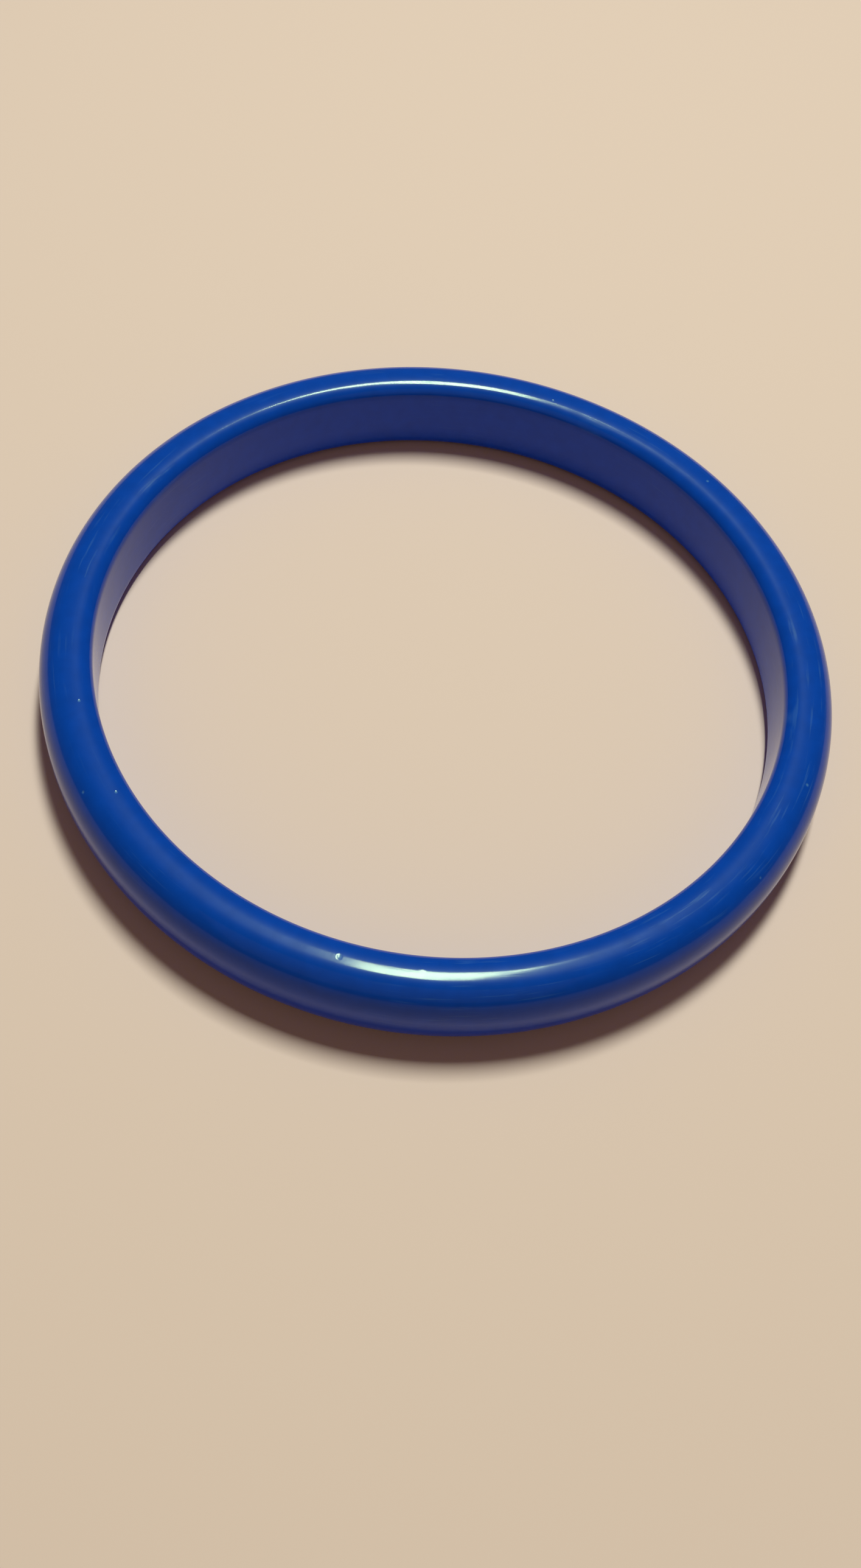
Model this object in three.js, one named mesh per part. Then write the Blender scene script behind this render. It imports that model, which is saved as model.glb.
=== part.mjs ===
// A plain slip-on bangle: one solid ring of moulded plastic, flat inside and domed outside.
//
// Millimetres, +Z up. The ring lies flat on its lower face, with its axis on Z and
// its origin at the centre of the circle that it rests on.

import * as THREE from 'three';

// ---------------------------------------------------------------------------
// Driving dimensions
// ---------------------------------------------------------------------------

const innerDiameter = 65;      // clear opening for the hand, between the flat inner walls
const bandHeight = 8.4;        // width of the band, measured along the axis
const wallThickness = 5.1;     // from the inner wall to the outermost point of the side
const innerEdgeRadius = 1.5;   // round between the inner wall and each face
const restingLand = 0.8;       // width of the flat ring beside each inner edge

// How finely each stretch is divided.
const ringSteps = 128;
const innerEdgeSteps = 5;
const sideSteps = 26;

const blue = 0x163f9e;

// ---------------------------------------------------------------------------
// Section of the band
// ---------------------------------------------------------------------------

const innerRadius = innerDiameter / 2;
const halfHeight = bandHeight / 2;
const quarterTurn = Math.PI / 2;

// Points of an upright ellipse between two of its angles.
function arc(centre, halfWidth, halfDepth, from, to, steps) {
  const points = [];
  for (let i = 0; i <= steps; i += 1) {
    const angle = THREE.MathUtils.lerp(from, to, i / steps);
    points.push(new THREE.Vector2(
      centre.x + halfWidth * Math.cos(angle),
      centre.y + halfDepth * Math.sin(angle),
    ));
  }
  return points;
}

// The whole section, counter-clockwise and closed on itself, standing on z = 0. A flat
// inner wall and two round inner edges lie behind one domed side, which is half of an
// ellipse and runs smoothly out of the narrow flat lands on both faces.
function bandSection() {
  const edge = innerEdgeRadius;
  const edgeX = innerRadius + edge;
  const lowerEdge = new THREE.Vector2(edgeX, edge);
  const upperEdge = new THREE.Vector2(edgeX, bandHeight - edge);
  const side = new THREE.Vector2(edgeX + restingLand, halfHeight);
  const sideWidth = wallThickness - edge - restingLand;
  const outline = [
    ...arc(lowerEdge, edge, edge, -Math.PI, -quarterTurn, innerEdgeSteps),
    ...arc(side, sideWidth, halfHeight, -quarterTurn, quarterTurn, sideSteps),
    ...arc(upperEdge, edge, edge, quarterTurn, Math.PI, innerEdgeSteps),
  ];
  outline.push(outline[0].clone());
  return outline;
}

// ---------------------------------------------------------------------------
// Bangle
// ---------------------------------------------------------------------------

function makeBangle() {
  // LatheGeometry turns its profile about Y, so the ring is turned up to stand on Z.
  const geometry = new THREE.LatheGeometry(bandSection(), ringSteps);
  geometry.rotateX(quarterTurn);

  const plastic = new THREE.MeshStandardMaterial({
    color: blue,
    roughness: 0.15,
    metalness: 0,
  });
  const bangle = new THREE.Mesh(geometry, plastic);
  bangle.name = 'bangle';
  return bangle;
}

const group = new THREE.Group();
group.add(makeBangle());

export default group;
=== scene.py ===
"""A plain cobalt-blue slip-on bangle: its band, its finish and a small studio to show it in."""

import math

import bmesh
import bpy
from bpy.props import FloatProperty, FloatVectorProperty, IntProperty, PointerProperty
from mathutils import Matrix, Vector


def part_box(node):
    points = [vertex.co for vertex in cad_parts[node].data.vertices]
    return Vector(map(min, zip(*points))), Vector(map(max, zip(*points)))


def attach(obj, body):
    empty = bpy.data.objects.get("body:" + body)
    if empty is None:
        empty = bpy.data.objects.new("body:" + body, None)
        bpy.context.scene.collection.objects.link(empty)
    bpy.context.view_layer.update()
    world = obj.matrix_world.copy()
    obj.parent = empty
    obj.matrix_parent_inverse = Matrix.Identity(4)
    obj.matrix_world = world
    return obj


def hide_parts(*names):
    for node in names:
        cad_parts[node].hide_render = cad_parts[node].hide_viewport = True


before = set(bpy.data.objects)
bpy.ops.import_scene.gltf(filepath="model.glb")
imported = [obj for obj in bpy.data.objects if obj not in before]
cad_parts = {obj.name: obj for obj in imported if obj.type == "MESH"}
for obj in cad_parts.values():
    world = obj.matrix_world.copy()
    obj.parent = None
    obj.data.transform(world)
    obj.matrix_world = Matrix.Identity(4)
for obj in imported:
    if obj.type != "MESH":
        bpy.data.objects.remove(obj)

bl_info = {
    "name": "Slip-on Bangle",
    "version": (1, 0, 0),
    "blender": (4, 5, 0),
    "location": "3D View > Sidebar > Bangle",
    "description": "Makes a worn, glossy plastic bangle and a studio to show it in",
    "category": "Add Mesh",
}

NODE = "bangle"
BODY = "root"

MM = 0.001
LOW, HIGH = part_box(NODE)
OUTER_RADIUS = (HIGH.x - LOW.x) / 2
BAND_HEIGHT = HIGH.z - LOW.z
CENTRE = Vector(((LOW.x + HIGH.x) / 2, (LOW.y + HIGH.y) / 2, LOW.z))

# Each nick: degrees round the ring, distance from the axis, height, radius and depth, in
# millimetres. One of them is a pimple, which stands out instead.
NICKS = (
    (263.1, 34.5, 8.4, 0.34, 0.020),
    (274.6, 34.15, 8.4, 0.42, -0.010),
    (221.1, 34.0, 8.4, 0.20, 0.030),
    (218.4, 36.3, 7.76, 0.22, 0.030),
    (203.8, 34.0, 8.4, 0.20, 0.030),
    (344.4, 35.75, 8.15, 0.24, 0.025),
    (327.0, 36.35, 7.7, 0.20, 0.030),
    (47.0, 34.8, 8.4, 0.22, 0.025),
    (78.2, 34.0, 8.4, 0.20, 0.020),
    (148.0, 37.3, 5.6, 0.30, 0.030),
    (12.0, 37.6, 3.7, 0.26, 0.030),
    (297.0, 36.9, 2.0, 0.32, 0.030),
    (186.0, 34.6, 0.0, 0.30, 0.030),
)

FULL_GLINT_DEPTH = 0.03       # depth of a nick, in millimetres, at which it is fully roughened and fully painted with the paler glint colour

# Heights of the unevenness of the surface, and the scales of its noises, in cells a metre
SWELL_HEIGHT = 0.06 * MM
SWELL_SCALE = 130.0
GRAIN_HEIGHT = 0.0008 * MM
GRAIN_SCALE = 2500.0
SCUFF_DEPTH = 0.0015 * MM
MOTTLE_SCALE = 700.0
SCUFF_PATCH_SCALE = 55.0
SCUFFS_ALONG = 160.0
SCUFFS_ACROSS = 3000.0
DYE_SPREAD = 0.14        # how much lighter or darker the dye gets, as a share

SURFACE_IOR = 1.25       # low, so that the reflected lamp keeps its colour
SHEEN_IOR = 1.5
FLOOR_HALF_WIDTH = 2.0
SENSOR_WIDTH = 36.0      # millimetres, as Blender counts it
NEAREST_VIEW = 5 * MM
MERGE_DISTANCE = 0.001 * MM


# ---------------------------------------------------------------------------
# Sizes and colours that a user would change
# ---------------------------------------------------------------------------

class BangleSizes(bpy.types.PropertyGroup):
    """Sizes of the band and of its section"""

    wall: FloatProperty(
        name="Wall",
        description="From the flat inner wall to the outermost point of the side",
        default=5.1 * MM,
        unit="LENGTH",
    )
    edge_breadth: FloatProperty(
        name="Edge breadth",
        description="How far the round of an inner edge reaches across a face",
        default=1.7 * MM,
        unit="LENGTH",
    )
    edge_depth: FloatProperty(
        name="Edge depth",
        description="How far the round of an inner edge reaches down the inner wall",
        default=1.2 * MM,
        unit="LENGTH",
    )
    land: FloatProperty(
        name="Land",
        description="Width of the nearly flat ring beside each inner edge",
        default=0.5 * MM,
        unit="LENGTH",
    )
    fullness: FloatProperty(
        name="Fullness",
        description="Exponent of the domed side: 2 is an ellipse, and more has fuller shoulders",
        default=2.3,
    )
    ring_steps: IntProperty(
        name="Steps round",
        description="How many steps the cage of the band has round its ring",
        default=136,
    )
    outline_step: FloatProperty(
        name="Outline step",
        description="Greatest length of a step along the outline of the section",
        default=0.62 * MM,
        unit="LENGTH",
    )


class BangleFinish(bpy.types.PropertyGroup):
    """Colour and gloss of the plastic"""

    plastic: FloatVectorProperty(
        name="Plastic",
        description="Body colour of the plastic",
        subtype="COLOR",
        size=3,
        default=(0.001, 0.047, 0.53),
    )
    polish: FloatProperty(
        name="Polish",
        description="Roughness of the polished surface",
        default=0.11,
    )
    haze: FloatProperty(
        name="Haze",
        description="Roughness of the soft sheen that handling leaves over the polish",
        default=0.34,
    )
    haze_weight: FloatProperty(
        name="Haze weight",
        description="How strong the soft sheen is",
        default=0.13,
    )
    # A paler colour painted into the nicks as their glint, and faintly along the scuffs.
    glint_colour: FloatVectorProperty(
        name="Stressed",
        description="Paler colour of the plastic where a nick has bruised it",
        subtype="COLOR",
        size=3,
        default=(0.16, 0.34, 0.75),
    )


class StageSettings(bpy.types.PropertyGroup):
    """Floor, light and camera"""

    floor: FloatVectorProperty(
        name="Floor",
        description="Colour of the floor",
        subtype="COLOR",
        size=3,
        default=(0.88, 0.54, 0.735),
    )
    room: FloatVectorProperty(
        name="Room",
        description="Colour of the dim light from all round",
        subtype="COLOR",
        size=3,
        default=(0.080, 0.068, 0.024),
    )
    lamp_distance: FloatProperty(
        name="Lamp distance",
        description="From the bangle to the lamp",
        default=0.62,
        unit="LENGTH",
    )
    lamp_back: FloatProperty(
        name="Lamp back",
        description="How far the lamp leans back from straight overhead",
        default=math.radians(17.3),
        subtype="ANGLE",
    )
    lamp_right: FloatProperty(
        name="Lamp right",
        description="How far the lamp leans right from straight overhead",
        default=math.radians(1.75),
        subtype="ANGLE",
    )
    lens: FloatProperty(
        name="Lens",
        description="Focal length of the camera",
        default=35.849,
        unit="CAMERA",
    )
    camera_distance: FloatProperty(
        name="Camera distance",
        description="From the foot of the bangle's axis to the camera, along its line of sight",
        default=153.02 * MM,
        unit="LENGTH",
    )
    camera_elevation: FloatProperty(
        name="Camera elevation",
        description="How steeply the camera looks down",
        default=math.radians(57.494),
        subtype="ANGLE",
    )
    camera_roll: FloatProperty(
        name="Camera roll",
        description="Turn of the camera about its line of sight",
        default=math.radians(-9.469),
        subtype="ANGLE",
    )
    camera_right: FloatProperty(
        name="Camera right",
        description="How far the camera stands to the right of the bangle's axis",
        default=0.879 * MM,
        unit="LENGTH",
    )
    camera_down: FloatProperty(
        name="Camera down",
        description="How far the camera is let down, square to its line of sight",
        default=9.228 * MM,
        unit="LENGTH",
    )


# ---------------------------------------------------------------------------
# Shader maths
# ---------------------------------------------------------------------------

class Socket:
    """A number from a shader node, so that shader maths reads as Python."""

    def __init__(self, tree, link):
        self.tree = tree
        self.link = link

    def node(self, kind, values=(), output=0, **settings):
        """Adds a node, its settings first and then the values or links of its sockets."""
        made = self.tree.nodes.new(kind)
        for name, value in settings.items():
            setattr(made, name, value)
        for key, value in dict(values).items():
            if isinstance(value, Socket):
                self.tree.links.new(value.link, made.inputs[key])
            else:
                made.inputs[key].default_value = value
        return Socket(self.tree, made.outputs[output])

    def math(self, operation, *values):
        """Adds a Math node."""
        return self.node("ShaderNodeMath", enumerate(values), operation=operation)

    def __add__(self, other):
        return self.math("ADD", self, other)

    def __radd__(self, other):
        return self.math("ADD", other, self)

    def __sub__(self, other):
        return self.math("SUBTRACT", self, other)

    def __rsub__(self, other):
        return self.math("SUBTRACT", other, self)

    def __mul__(self, other):
        return self.math("MULTIPLY", self, other)

    def __rmul__(self, other):
        return self.math("MULTIPLY", other, self)


# ---------------------------------------------------------------------------
# Band
# ---------------------------------------------------------------------------

class Outline:
    """The section's outline, drawn clockwise in straight and round stretches."""

    def __init__(self, bm, start, step):
        self.bm = bm
        self.vert = bmesh.ops.create_vert(bm, co=start)["vert"][0]
        self.first = self.vert
        self.step = step

    def straight(self, along):
        """Goes on by this vector."""
        steps = math.ceil(along.length / self.step)
        for _ in range(steps):
            made = bmesh.ops.extrude_vert_indiv(self.bm, verts=[self.vert])
            self.vert = made["verts"][0]
            bmesh.ops.translate(self.bm, verts=[self.vert], vec=along / steps)

    def arc(self, centre, turn):
        """Goes on round this centre."""
        radius = (self.vert.co - centre).length
        made = bmesh.ops.spin(
            self.bm,
            geom=[self.vert],
            cent=centre,
            axis=(0, 1, 0),
            angle=turn,
            steps=math.ceil(radius * turn / self.step),
        )
        self.vert = next(part for part in made["geom_last"] if isinstance(part, bmesh.types.BMVert))

    def close(self):
        """Joins the last vertex to the first."""
        last = self.bm.edges.new((self.vert, self.first))
        cuts = math.ceil(last.calc_length() / self.step) - 1
        bmesh.ops.subdivide_edges(self.bm, edges=[last], cuts=cuts)


def dome_side(vert, side_x, half, power):
    """Moves a vertex of the side from its half circle to the domed outline."""
    across = (vert.co.x - side_x) / half
    up = (vert.co.z - half) / half
    vert.co.x = side_x + (OUTER_RADIUS - side_x) * min(across, 1.0) ** power
    vert.co.z = half + math.copysign(half * min(abs(up), 1.0) ** power, up)


def draw_section(bm, sizes):
    """Draws the closed outline of the band's section, on the right of the axis.

    It is drawn with true rounds first. Then the inner edges are stretched across the face,
    and the half circle of the side becomes its domed outline.
    """
    depth = sizes.edge_depth
    edge_x = OUTER_RADIUS - sizes.wall + sizes.edge_breadth
    side_x = edge_x + sizes.land
    half = BAND_HEIGHT / 2
    start = Vector((edge_x - depth, 0, BAND_HEIGHT - depth))
    outline = Outline(bm, start, sizes.outline_step)
    outline.arc(Vector((edge_x, 0, BAND_HEIGHT - depth)), math.pi / 2)
    outline.straight(Vector((sizes.land, 0, 0)))
    outline.arc(Vector((side_x, 0, half)), math.pi)
    outline.straight(Vector((-sizes.land, 0, 0)))
    outline.arc(Vector((edge_x, 0, depth)), math.pi / 2)
    outline.close()
    for vert in bm.verts:
        if vert.co.x < edge_x:
            vert.co.x = edge_x - (edge_x - vert.co.x) * sizes.edge_breadth / depth
        elif vert.co.x > side_x:
            dome_side(vert, side_x, half, 2 / sizes.fullness)


def nicks(place):
    """How deep each point lies in a nick, and how much it is roughened and painted with a paler glint
    there.
    """
    depth = 0.0
    bruise_and_glint = 0.0
    for angle, radius, height, size, deepest in NICKS:
        turn = math.radians(angle)
        spot = (radius * MM * math.cos(turn), radius * MM * math.sin(turn), height * MM)
        away = place.node(
            "ShaderNodeVectorMath",
            {0: place, 1: spot},
            output="Value",
            operation="DISTANCE",
        )
        inside = away.node(
            "ShaderNodeMapRange",
            {"Value": away, "From Max": size * MM, "To Min": 1.0, "To Max": 0.0},
            interpolation_type="SMOOTHSTEP",
        )
        depth = depth + inside * (deepest * MM)
        bruise_and_glint = bruise_and_glint + inside * (max(deepest, 0.0) / FULL_GLINT_DEPTH)
    return depth, bruise_and_glint


def scuffs(place):
    """Fine scuffs that run round the band in patches: 1 in a scuff and 0 beside it."""
    x = place.node("ShaderNodeSeparateXYZ", {0: place})
    y = place.node("ShaderNodeSeparateXYZ", {0: place}, output=1)
    z = place.node("ShaderNodeSeparateXYZ", {0: place}, output=2)
    along = y.math("ARCTAN2", y, x) * OUTER_RADIUS
    across = x.math("SQRT", x * x + y * y) - z
    run = place.node("ShaderNodeCombineXYZ", {"X": along * SCUFFS_ALONG, "Y": across * SCUFFS_ACROSS})
    lines = run.node("ShaderNodeTexNoise", {"Vector": run, "Scale": 1.0, "Detail": 3.0})
    patches = place.node(
        "ShaderNodeTexNoise",
        {"Vector": place, "Scale": SCUFF_PATCH_SCALE, "Detail": 1.0},
    )
    line = lines.node(
        "ShaderNodeMapRange",
        {"Value": lines, "From Min": 0.56, "From Max": 0.72},
        interpolation_type="SMOOTHSTEP",
    )
    patch = patches.node(
        "ShaderNodeMapRange",
        {"Value": patches, "From Min": 0.45, "From Max": 0.62},
        interpolation_type="SMOOTHSTEP",
    )
    return line * patch


def plastic_material(finish):
    """Opaque, dyed, polished plastic with the soft sheen, hairlines and nicks of wear, the nicks
    painted paler as a glint and the scuffs a little paler.
    """
    material = bpy.data.materials.new("cobalt_plastic")
    material.use_nodes = True
    tree = material.node_tree
    shader = tree.nodes["Principled BSDF"]
    place = Socket(tree, tree.nodes.new("ShaderNodeTexCoord").outputs["Object"])
    swell = place.node("ShaderNodeTexNoise", {"Vector": place, "Scale": SWELL_SCALE, "Detail": 1.0})
    mottle = place.node("ShaderNodeTexNoise", {"Vector": place, "Scale": MOTTLE_SCALE, "Detail": 4.0})
    grain = place.node("ShaderNodeTexNoise", {"Vector": place, "Scale": GRAIN_SCALE, "Detail": 2.0})
    nick, bruise_and_glint = nicks(place)
    scuff = scuffs(place)

    dye = place.node(
        "ShaderNodeMix",
        {
            "Factor": mottle,
            "A": [channel * (1 - DYE_SPREAD) for channel in finish.plastic] + [1.0],
            "B": [channel * (1 + DYE_SPREAD) for channel in finish.plastic] + [1.0],
        },
        output=2,
        data_type="RGBA",
    )
    # The nicks are painted paler, as a glint, and the scuffs take a faint pale tint.
    colour = place.node(
        "ShaderNodeMix",
        {"Factor": bruise_and_glint * 0.5 + scuff * 0.09, "A": dye, "B": (*finish.glint_colour, 1.0)},
        output=2,
        data_type="RGBA",
    )
    roughness = finish.polish * (0.7 + mottle * 0.6) + scuff * 0.12 + bruise_and_glint * 0.1
    height = swell * SWELL_HEIGHT + grain * GRAIN_HEIGHT - scuff * SCUFF_DEPTH - nick
    bump = height.node("ShaderNodeBump", {"Height": height, "Distance": 1.0})

    tree.links.new(colour.link, shader.inputs["Base Color"])
    tree.links.new(roughness.link, shader.inputs["Roughness"])
    tree.links.new(bump.link, shader.inputs["Normal"])
    shader.inputs["IOR"].default_value = SURFACE_IOR
    shader.inputs["Coat Weight"].default_value = finish.haze_weight
    shader.inputs["Coat Roughness"].default_value = finish.haze
    shader.inputs["Coat IOR"].default_value = SHEEN_IOR
    return material


def make_band(sizes, finish):
    """The ring itself: the section turned once round the axis, as the cage of a smooth surface."""
    bm = bmesh.new()
    draw_section(bm, sizes)
    bmesh.ops.spin(
        bm,
        geom=bm.verts[:] + bm.edges[:],
        cent=(0, 0, 0),
        axis=(0, 0, 1),
        angle=math.tau,
        steps=sizes.ring_steps,
        use_merge=True,
    )
    bmesh.ops.remove_doubles(bm, verts=bm.verts, dist=MERGE_DISTANCE)
    bmesh.ops.translate(bm, verts=bm.verts, vec=CENTRE)
    bmesh.ops.recalc_face_normals(bm, faces=bm.faces)
    for face in bm.faces:
        face.smooth = True
    mesh = bpy.data.meshes.new("bangle_band")
    bm.to_mesh(mesh)
    bm.free()
    mesh.materials.append(plastic_material(finish))
    band = bpy.data.objects.new("bangle_band", mesh)
    bpy.context.collection.objects.link(band)
    smooth = band.modifiers.new("smooth", "SUBSURF")
    smooth.levels = 2
    smooth.render_levels = 2
    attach(band, BODY)
    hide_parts(NODE)


class BANGLE_OT_band(bpy.types.Operator):
    """Makes the band of the bangle and gives it its plastic"""

    bl_idname = "bangle.band"
    bl_label = "Make band"

    def execute(self, context):
        make_band(context.scene.bangle_sizes, context.scene.bangle_finish)
        return {"FINISHED"}


# ---------------------------------------------------------------------------
# Stage
# ---------------------------------------------------------------------------

def make_floor(stage):
    """A plain matt floor under the bangle."""
    bm = bmesh.new()
    bmesh.ops.create_grid(bm, x_segments=1, y_segments=1, size=FLOOR_HALF_WIDTH)
    bmesh.ops.translate(bm, verts=bm.verts, vec=CENTRE)
    mesh = bpy.data.meshes.new("floor")
    bm.to_mesh(mesh)
    bm.free()
    material = bpy.data.materials.new("pale_floor")
    material.use_nodes = True
    shader = material.node_tree.nodes["Principled BSDF"]
    shader.inputs["Base Color"].default_value = (*stage.floor, 1.0)
    shader.inputs["Roughness"].default_value = 0.7
    shader.inputs["Specular IOR Level"].default_value = 0.2
    mesh.materials.append(material)
    floor = bpy.data.objects.new("floor", mesh)
    bpy.context.collection.objects.link(floor)


def make_lamp(name, stage, back, right, width, depth, brightness, colour):
    """A flat lamp of this angular width and depth, this bright to look at, aimed at the bangle."""
    distance = stage.lamp_distance
    towards = Vector((math.tan(right), math.tan(back), 1.0)).normalized()
    light = bpy.data.lights.new(name, "AREA")
    light.shape = "RECTANGLE"
    light.size = 2 * distance * math.tan(width / 2)
    light.size_y = 2 * distance * math.tan(depth / 2)
    light.color = colour
    light.energy = brightness * math.pi * light.size * light.size_y
    lamp = bpy.data.objects.new(name, light)
    turn = towards.to_track_quat("Z", "Y").to_matrix().to_4x4()
    lamp.matrix_world = Matrix.Translation(CENTRE + towards * distance) @ turn
    bpy.context.collection.objects.link(lamp)


def make_room(stage):
    """Dim light from all round."""
    world = bpy.data.worlds.new("room")
    bpy.context.scene.world = world
    world.use_nodes = True
    background = world.node_tree.nodes["Background"]
    background.inputs["Color"].default_value = (*stage.room, 1.0)
    background.inputs["Strength"].default_value = 1.0


def make_camera(stage):
    """Looks down on the near side of the bangle, with a slight roll."""
    across = Vector((1, 0, 0))
    above = Vector((0, math.sin(stage.camera_elevation), math.cos(stage.camera_elevation)))
    behind = Vector((0, -math.cos(stage.camera_elevation), math.sin(stage.camera_elevation)))
    place = CENTRE + across * stage.camera_right - above * stage.camera_down
    place += behind * stage.camera_distance
    roll = stage.camera_roll
    right = across * math.cos(roll) - above * math.sin(roll)
    up = across * math.sin(roll) + above * math.cos(roll)
    camera = bpy.data.objects.new("camera", bpy.data.cameras.new("camera"))
    camera.data.lens = stage.lens
    camera.data.sensor_width = SENSOR_WIDTH
    camera.data.clip_start = NEAREST_VIEW
    camera.matrix_world = Matrix.Translation(place) @ Matrix((right, up, behind)).transposed().to_4x4()
    bpy.context.collection.objects.link(camera)
    bpy.context.scene.camera = camera


class BANGLE_OT_stage(bpy.types.Operator):
    """Makes the floor, the light and the camera"""

    bl_idname = "bangle.stage"
    bl_label = "Make stage"

    def execute(self, context):
        stage = context.scene.bangle_stage
        make_floor(stage)
        make_room(stage)
        make_lamp(
            "lamp",
            stage,
            back=stage.lamp_back,
            right=stage.lamp_right,
            width=math.radians(7),
            depth=math.radians(16),
            brightness=93.0,
            colour=(0.72, 1.0, 0.58),
        )
        make_lamp(
            "fill",
            stage,
            back=math.radians(-50),
            right=0.0,
            width=math.radians(70),
            depth=math.radians(50),
            brightness=0.22,
            colour=(1.0, 0.80, 0.20),
        )
        make_camera(stage)
        context.scene.view_settings.view_transform = "Standard"
        return {"FINISHED"}


# ---------------------------------------------------------------------------
# Panel, registration and the whole build
# ---------------------------------------------------------------------------

class BANGLE_PT_panel(bpy.types.Panel):
    """Lists the bangle's pieces and its stage"""

    bl_idname = "BANGLE_PT_panel"
    bl_label = "Bangle"
    bl_space_type = "VIEW_3D"
    bl_region_type = "UI"
    bl_category = "Bangle"

    def draw(self, context):
        for operator in ("bangle.band", "bangle.stage"):
            self.layout.operator(operator)


CLASSES = (
    BangleSizes,
    BangleFinish,
    StageSettings,
    BANGLE_OT_band,
    BANGLE_OT_stage,
    BANGLE_PT_panel,
)


def register():
    for cls in CLASSES:
        bpy.utils.register_class(cls)
    bpy.types.Scene.bangle_sizes = PointerProperty(type=BangleSizes)
    bpy.types.Scene.bangle_finish = PointerProperty(type=BangleFinish)
    bpy.types.Scene.bangle_stage = PointerProperty(type=StageSettings)


def unregister():
    del bpy.types.Scene.bangle_stage
    del bpy.types.Scene.bangle_finish
    del bpy.types.Scene.bangle_sizes
    for cls in reversed(CLASSES):
        bpy.utils.unregister_class(cls)


def main():
    """Makes the bangle and its stage."""
    register()
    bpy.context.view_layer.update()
    bpy.ops.bangle.band()
    bpy.ops.bangle.stage()


if __name__ == "__main__":
    main()
